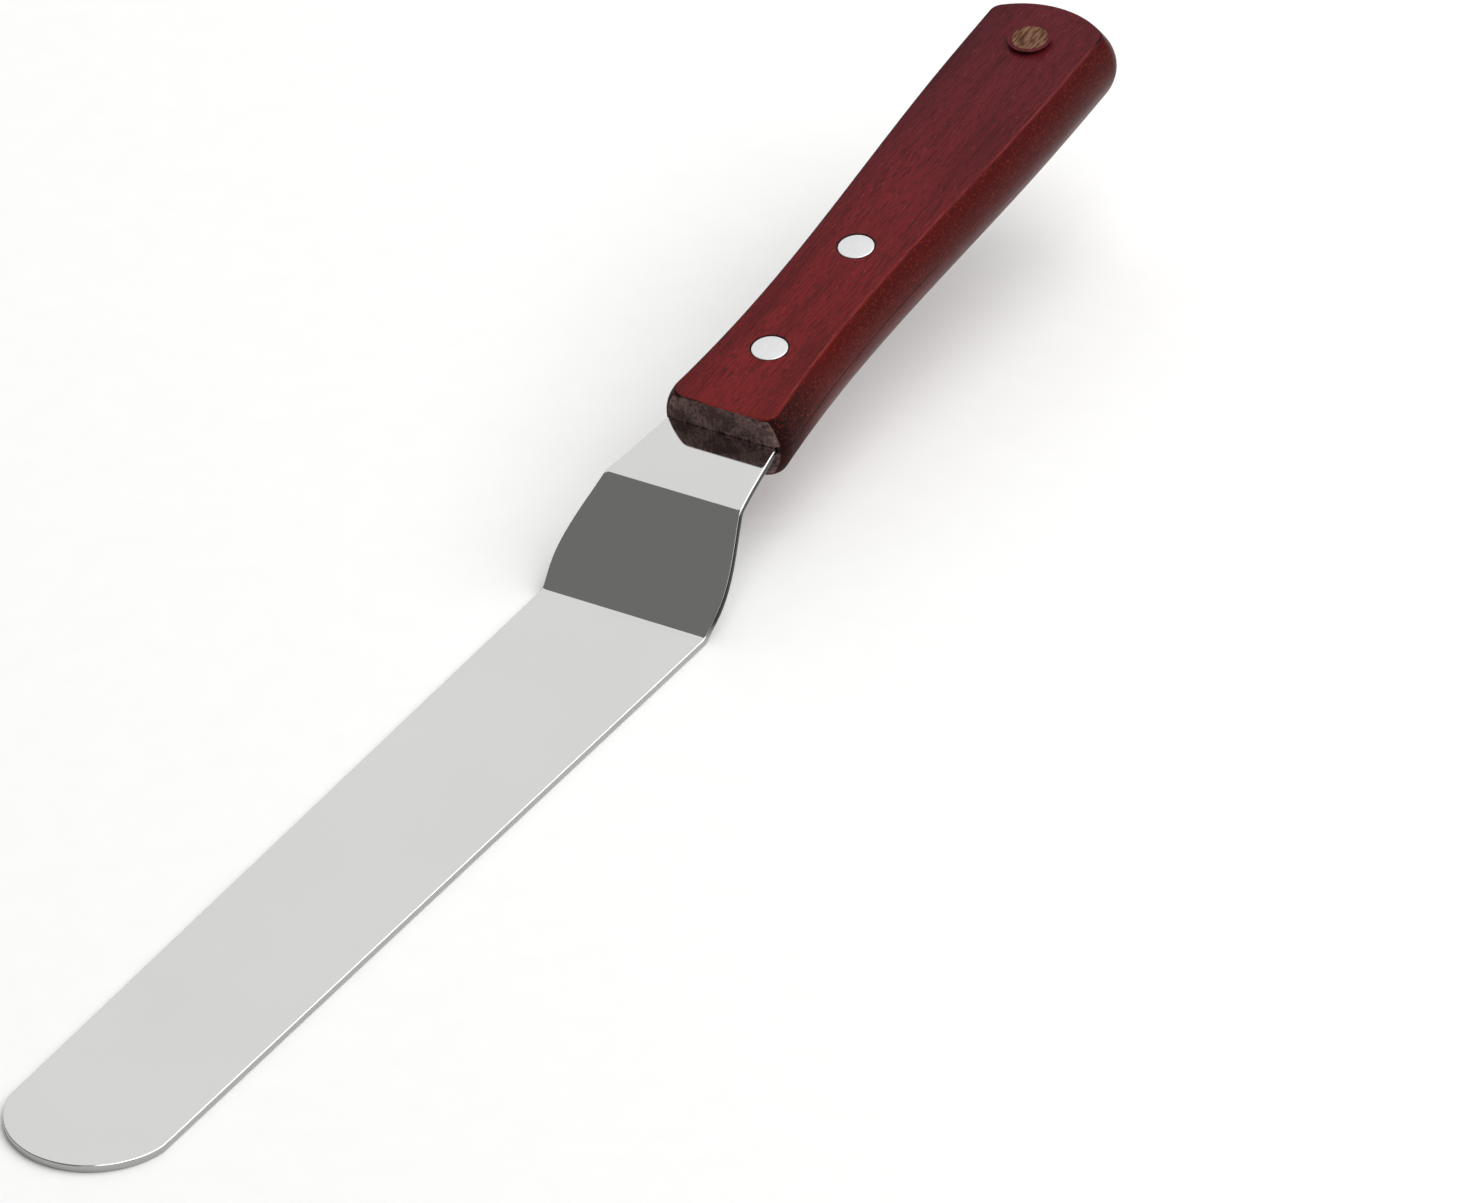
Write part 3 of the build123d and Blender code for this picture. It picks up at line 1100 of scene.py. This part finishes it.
@dataclass(frozen=True)
class Handle:
    """One piece of hardwood: flat top and bottom, bulged sides, slotted from its front."""

    axes: HandleAxes
    bulge: float = 2.7
    front_width: float = 30.0
    waist_station: float = 35.0
    waist_width: float = 26.0
    hip_station: float = 112.0
    hip_width: float = 31.2
    rear_width: float = 31.6
    rear_arc_radius: float = 23.5
    rear_corner_radius: float = 5.5
    front_corner_radius: float = 3.6
    front_trim: float = 4.0
    rim_round: float = 0.5
    slot_gap: float = 1.66
    slot_root_width: float = 26.0
    slot_width: float = 16.8
    slot_taper: float = 16.0
    slot_length: float = 65.2
    counterbore_radius: float = 3.98
    counterbore_depth: float = 1.6
    rivet_hole_radius: float = 2.6
    hole_chamfer: float = 0.15
    splinter: float = 0.12
    # How far the spine's two ends stand in from the handle's front and rear
    spine_ends: tuple[float, float] = (13.0, 16.0)
    # Two stations on the side, just behind the front corner, that give its lean
    lean_stations: tuple[float, float] = (3.9, 4.1)
    drill_steps: int = 64
    crease_angle: float = 32.0

    def half_outline(self, inset: float) -> tuple[np.ndarray, np.ndarray]:
        """Draw one side of the plan from the front's middle to the rear's middle.

        A straight front, a rounded corner, one smooth curve through waist and hip, a rounded
        corner and a shallow arc across the rear.

        Args:
            inset: How far the sides and the rear are drawn in, in millimetres.

        Returns:
            The station and half width of each point, and how much of the front rim's rounding
            each takes, 0 to 1.
        """
        widths = (self.front_width, self.waist_width, self.hip_width, self.rear_width)
        front, waist, hip, rear = (width / 2 - inset for width in widths)
        flare = 2 * (front - waist) / self.waist_station
        centre = self.axes.length - self.rear_arc_radius
        corner = self.rear_corner_radius - inset
        arc = self.rear_arc_radius - inset
        corner_y = rear - corner
        reach = math.sqrt((arc - corner) ** 2 - corner_y**2)
        side_end = centre + reach
        knots = np.array([-self.front_trim, 0, self.waist_station, self.hip_station, side_end])
        halves = np.array([front + flare * self.front_trim, front, waist, hip, rear])

        near = np.array(self.lean_stations)
        near_half = clamped_spline(knots, halves, (-flare, 0.0), near)
        slope = (near_half[0] - near_half[1]) / (near[1] - near[0])
        lean = math.atan(slope)
        meet = near_half.mean() + slope * near.mean()
        reach_in = self.front_corner_radius / math.tan((math.pi / 2 - lean) / 2)
        turn = np.linspace(math.pi, math.pi / 2 - lean, 13)
        front_corner = np.stack([
            self.front_corner_radius * (1 + np.cos(turn)),
            meet - reach_in + self.front_corner_radius * np.sin(turn),
        ], 1)
        front_face = np.stack([np.zeros(14), np.linspace(0, front_corner[0, 1], 15)[:-1]], 1)
        stations = np.linspace(front_corner[-1, 0], side_end, 120)[1:]
        side = np.stack([stations, clamped_spline(knots, halves, (-flare, 0.0), stations)], 1)
        swing = math.atan2(corner_y, reach)
        turn = np.linspace(math.pi / 2, swing, 13)[1:]
        rear_corner = np.stack([side_end + corner * np.cos(turn), corner_y + corner * np.sin(turn)], 1)
        turn = np.linspace(swing, 0, 30)[1:]
        rear_arc = np.stack([centre + arc * np.cos(turn), arc * np.sin(turn)], 1)
        parts = (front_face, front_corner, side, rear_corner, rear_arc)
        outline = np.vstack(parts)
        outline[-1, 1] = 0.0
        rimmed = np.zeros(len(outline))
        rimmed[: len(front_face)] = 1.0
        rimmed[len(front_face) : len(front_face) + len(front_corner)] = (
            np.linspace(1, 0, len(front_corner)) ** 0.5
        )
        return outline, rimmed

    def section(self) -> tuple[np.ndarray, np.ndarray, np.ndarray]:
        """Draw the side's section from the middle of the top to the middle of the bottom.

        The bulge falls off with the square of the height, and each rim is a small arc that
        meets the flat and the bulge.

        Returns:
            For each point, its share of the way in to the spine, its inset and its height.
        """
        half = self.axes.thickness / 2
        rim_slope = math.atan2(1, 2 * self.bulge / half)
        cut_in = self.rim_round * math.tan(rim_slope / 2)
        turn = np.linspace(math.pi / 2, math.pi / 2 - rim_slope, 7)
        rim_inset = self.bulge + cut_in - self.rim_round * np.cos(turn)
        rim_height = half - self.rim_round + self.rim_round * np.sin(turn)
        side_height = np.linspace(rim_height[-1], -rim_height[-1], 27)[1:-1]
        side_inset = self.bulge * (side_height / half) ** 2
        share = np.array([1.0, 0.85, 0.65, 0.45, 0.25, 0.1, 0.03])
        flat = np.full(len(share), rim_inset[0])
        level = np.full(len(share), half)
        shares = np.concatenate([share, np.zeros(2 * len(turn) + len(side_height)), share[::-1]])
        insets = np.concatenate([flat, rim_inset, side_inset, rim_inset[::-1], flat])
        heights = np.concatenate([level, rim_height, side_height, -rim_height[::-1], -level])
        return shares, insets, heights

    def blank(self) -> bpy.types.Object:
        """Build the handle before it is slotted and drilled.

        One parameter runs round the plan and the other down the section. The plan at any inset
        is the full plan less the inset times a fixed direction, and the flats are drawn in
        towards a spine along the middle.

        Returns:
            The blank.
        """
        full, rimmed = self.half_outline(0.0)
        drawn_in, _ = self.half_outline(1.0)
        inward = drawn_in - full
        shares, insets, heights = self.section()
        plan = full[:, None, :] + inward[:, None, :] * insets[None, :, None]
        # The front rim's rounding sets the front face back too
        half = self.axes.thickness / 2
        back = np.clip(np.abs(heights) - (half - self.rim_round), 0, None)
        set_back = self.rim_round - np.sqrt(np.clip(self.rim_round**2 - back**2, 0, None))
        plan[..., 0] += rimmed[:, None] * set_back[None, :]
        spine = np.clip(plan[..., 0], self.spine_ends[0], self.axes.length - self.spine_ends[1])
        station = plan[..., 0] + (spine - plan[..., 0]) * shares
        side = plan[..., 1] * (1 - shares)
        height = np.broadcast_to(heights, station.shape)
        one = np.stack([station, side, height], -1)
        other = one[-2:0:-1] * np.array([1.0, -1.0, 1.0])
        ring = np.concatenate([one, other], 0)
        points = np.swapaxes(self.axes.to_model(ring), 0, 1)
        return surface_object("spatula_handle", points, True)

    def slab(self, outline: np.ndarray, gap: float) -> bpy.types.Object:
        """Make a flat cutting shape in the mid-plane.

        Args:
            outline: One side of its plan, station and half width, with both ends on the middle.
            gap: How thick the cut is.

        Returns:
            The tool.
        """
        up = np.array([-1.0, -1.0, 1.0, 1.0]) * gap / 2
        out = np.array([-1.0, 1.0, 1.0, -1.0])
        station = np.broadcast_to(outline[:, :1], (len(outline), 4))
        side = np.clip(outline[:, 1:], 1e-3, None) * out
        height = np.broadcast_to(up, station.shape)
        points = self.axes.to_model(np.stack([station, side, height], -1))
        first, last = points[:1].mean(1, keepdims=True), points[-1:].mean(1, keepdims=True)
        points = np.concatenate([np.repeat(first, 4, 1), points, np.repeat(last, 4, 1)], 0)
        return surface_object("slot_tool", points, True)

    def drill(self, station: float, profile: np.ndarray, jitter: float = 0.0) -> bpy.types.Object:
        """Make a turned cutting shape that stands square to the mid-plane.

        Args:
            station: Where its axis is.
            profile: Radius and height of each point, from bottom to top.
            jitter: How far its edge wanders, as a splintered rim does.

        Returns:
            The tool.
        """
        return turned("drill_tool", self.axes, station, profile, self.drill_steps, jitter)

    def piece(self) -> bpy.types.Object:
        """Build the handle with its slot, kerf, rivet holes and hang hole.

        Returns:
            The handle.
        """
        handle = self.blank()
        ahead = -self.front_trim
        kerf = np.array([[ahead, self.front_width], [self.axes.kerf_length, self.front_width]])
        slot = np.array([
            [ahead, self.slot_root_width / 2], [0.0, self.slot_root_width / 2],
            [self.slot_taper, self.slot_width / 2], [self.slot_length, self.slot_width / 2],
        ])
        cut(handle, self.slab(slot, self.slot_gap))
        cut(handle, self.slab(kerf, self.axes.kerf_gap))
        half = self.axes.thickness / 2
        past = half + 1.0
        floor = half - self.counterbore_depth
        head, bore = self.counterbore_radius, self.rivet_hole_radius
        counterbored = np.array([
            [0, -past], [head, -past], [head, -floor], [bore, -floor],
            [bore, floor], [head, floor], [head, past], [0, past],
        ])
        for station in self.axes.rivet_stations:
            cut(handle, self.drill(station, counterbored))
        chamfer, wall = self.hole_chamfer, self.axes.hole_radius
        flare = wall + chamfer
        beyond = flare + 1 - chamfer
        chamfered = np.array([
            [0, -past], [beyond, -past], [flare, -half], [wall, -half + chamfer],
            [wall, half - chamfer], [flare, half], [beyond, past], [0, past],
        ])
        cut(handle, self.drill(self.axes.hole_station, chamfered, self.splinter))
        smooth_up_to(handle, self.crease_angle)
        return handle


# ---------------------------------------------------------------- rivets


@dataclass(frozen=True)
class Rivet:
    """One compression rivet: a bored barrel from the top and a pin driven up from below."""

    axes: HandleAxes
    place_name: str
    station: float
    head_thickness: float = 1.6
    barrel_radius: float = 2.5
    bore_radius: float = 1.62
    pin_radius: float = 1.6
    pin_chamfer: float = 0.4
    barrel_length: float = 11.5
    pin_length: float = 10.8
    edge_round: float = 0.25
    dish: float = 0.08
    turn_steps: int = 72
    crease_angle: float = 32.0

    def head(self) -> np.ndarray:
        """Draw a head's outer face from its middle to its back edge, as radius and depth.

        The face falls away with the square of the radius, and a small arc rounds its edge.

        Returns:
            The profile's points, with depth measured into the handle.
        """
        head_radius = self.axes.rivet_head_radius
        flat_radius = np.linspace(0, head_radius - self.edge_round, 9)
        flat = np.stack([flat_radius, self.dish * (flat_radius / head_radius) ** 2], 1)
        turn = np.linspace(math.pi / 2, 0, 7)[1:]
        centre = np.array([head_radius - self.edge_round, flat[-1, 1] + self.edge_round])
        edge = centre + self.edge_round * np.stack([np.cos(turn), -np.sin(turn)], 1)
        return np.vstack([flat, edge, [[head_radius, self.head_thickness]]])

    def piece(self, half: RivetHalf) -> bpy.types.Object:
        """Build one half of the rivet.

        Args:
            half: Which half.

        Returns:
            The turned object.
        """
        back = self.head_thickness
        if half is RivetHalf.BARREL:
            end = back + self.barrel_length
            shank = [[self.barrel_radius, back], [self.barrel_radius, end],
                     [self.bore_radius, end], [self.bore_radius, back], [0, back]]
            side = 1.0
        else:
            end = back + self.pin_length
            shank = [[self.pin_radius, back], [self.pin_radius, end - self.pin_chamfer],
                     [self.pin_radius - self.pin_chamfer, end], [0, end]]
            side = -1.0
        profile = np.vstack([self.head(), shank])
        profile[:, 1] = side * (self.axes.thickness / 2 - profile[:, 1])
        name = f"{self.place_name}_rivet_{half.value}_shown"
        rivet = turned(name, self.axes, self.station, profile, self.turn_steps)
        smooth_up_to(rivet, self.crease_angle)
        return rivet


# ---------------------------------------------------------------- studio


@dataclass(frozen=True)
class Softbox:
    """A flat soft light: where it stands from the object, how big it is and how bright it looks."""

    name: str
    direction: tuple[float, float, float]
    distance: float
    width: float
    height: float
    radiance: float

    def build(self, target: Vector) -> bpy.types.Object:
        """Stand the light up, facing the target.

        Args:
            target: The middle of the object.

        Returns:
            The light.
        """
        data = bpy.data.lights.new(self.name, "AREA")
        data.shape = "RECTANGLE"
        data.size, data.size_y = self.width, self.height
        # A flat light of this power has this radiance over its whole face.
        data.energy = math.pi * self.width * self.height * self.radiance
        light = bpy.data.objects.new(self.name, data)
        away = Vector(self.direction).normalized()
        light.location = target + away * self.distance
        light.rotation_euler = away.to_track_quat("Z", "Y").to_euler()
        light.visible_camera = False
        bpy.context.scene.collection.objects.link(light)
        return light


@dataclass(frozen=True)
class Studio:
    """Plain white paper, soft lights, and the camera."""

    surround: float = 0.23
    floor_half: float = 6.0
    floor_drop: float = 0.05
    azimuth: float = 31.682
    elevation: float = 33.371
    roll: float = -1.906
    lens: float = 308.38
    # From the CAD origin, in metres
    camera_place: tuple[float, float, float] = (1.68430, 1.13121, 1.39889)

    def floor(self) -> bpy.types.Object:
        """Lay the paper just under the blade: a flat grid of points.

        Returns:
            The floor.
        """
        edge = np.linspace(-self.floor_half, self.floor_half, 9)
        x, y = np.meshgrid(edge, edge, indexing="ij")
        points = np.stack([x, y, np.full_like(x, -self.floor_drop * MM)], -1)
        mesh = bpy.data.meshes.new("studio_paper")
        count = len(edge)
        i, j = np.meshgrid(np.arange(count - 1), np.arange(count - 1), indexing="ij")
        here, beyond = i * count + j, (i + 1) * count + j
        quads = np.stack([here, beyond, beyond + 1, here + 1], -1)
        mesh.from_pydata(points.reshape(-1, 3), [], quads.reshape(-1, 4))
        paper = bpy.data.objects.new("studio_paper", mesh)
        bpy.context.scene.collection.objects.link(paper)
        mesh.materials.append(StudioPaper().material())
        return paper

    def lights(self) -> None:
        """Hang the softboxes and set the even light round them."""
        target = (cad_box[0] + cad_box[1]) / 2
        boxes = (
            Softbox("key_softbox", (-0.63, -0.45, 0.64), 2.2, 2.8, 2.4, 0.86),
            Softbox("top_softbox", (-0.25, 0.42, 0.87), 1.95, 2.6, 2.6, 2.15),
            Softbox("rim_softbox", (-0.70, 0.55, 0.45), 2.4, 0.9, 0.5, 2.4),
            Softbox("fill_softbox", (0.75, 0.55, 0.6), 3.0, 2.4, 2.0, 0.65),
        )
        for box in boxes:
            box.build(target)
        world = bpy.data.worlds.new("studio")
        world.use_nodes = True
        world.node_tree.nodes.clear()
        grey = (self.surround, self.surround, self.surround, 1.0)
        background = add_node(world.node_tree, "Background", {"Color": grey, "Strength": 1.0})
        add_node(world.node_tree, "OutputWorld", {"Surface": background.outputs[0]})
        bpy.context.scene.world = world
        bpy.context.scene.view_settings.view_transform = "Standard"

    def camera(self) -> None:
        """Stand the camera: it looks back along its azimuth and elevation, and is rolled a little."""
        turn, rise, roll = (math.radians(a) for a in (self.azimuth, self.elevation, self.roll))
        level = math.cos(rise)
        back = Vector((level * math.cos(turn), level * math.sin(turn), math.sin(rise)))
        right = Vector((-math.sin(turn), math.cos(turn), 0.0))
        up = back.cross(right)
        rolled_right = math.cos(roll) * right + math.sin(roll) * up
        rolled_up = math.cos(roll) * up - math.sin(roll) * right
        data = bpy.data.cameras.new("camera")
        data.lens = self.lens
        data.sensor_width = 36.0
        data.clip_start, data.clip_end = 0.05, 30.0
        camera = bpy.data.objects.new("camera", data)
        facing = Matrix((rolled_right, rolled_up, back)).transposed().to_4x4()
        camera.matrix_world = Matrix.Translation(self.camera_place) @ facing
        bpy.context.scene.collection.objects.link(camera)
        bpy.context.scene.camera = camera


# ---------------------------------------------------------------- the whole spatula


def main() -> None:
    """Build the spatula, then the studio round it."""
    logging.basicConfig(level=logging.INFO, format="%(message)s")
    axes = HandleAxes()

    place(Blade(axes).piece(), "blade", PolishedStainlessSteel().material())
    place(Handle(axes).piece(), "handle", StainedHardwood(axes).material())
    aluminium = RivetAluminium().material()
    for name, station in zip(("front", "rear"), axes.rivet_stations):
        rivet = Rivet(axes, name, station)
        for half in RivetHalf:
            place(rivet.piece(half), f"{name}_rivet_{half.value}", aluminium)

    studio = Studio()
    studio.floor()
    studio.lights()
    studio.camera()


if __name__ == "__main__":
    main()
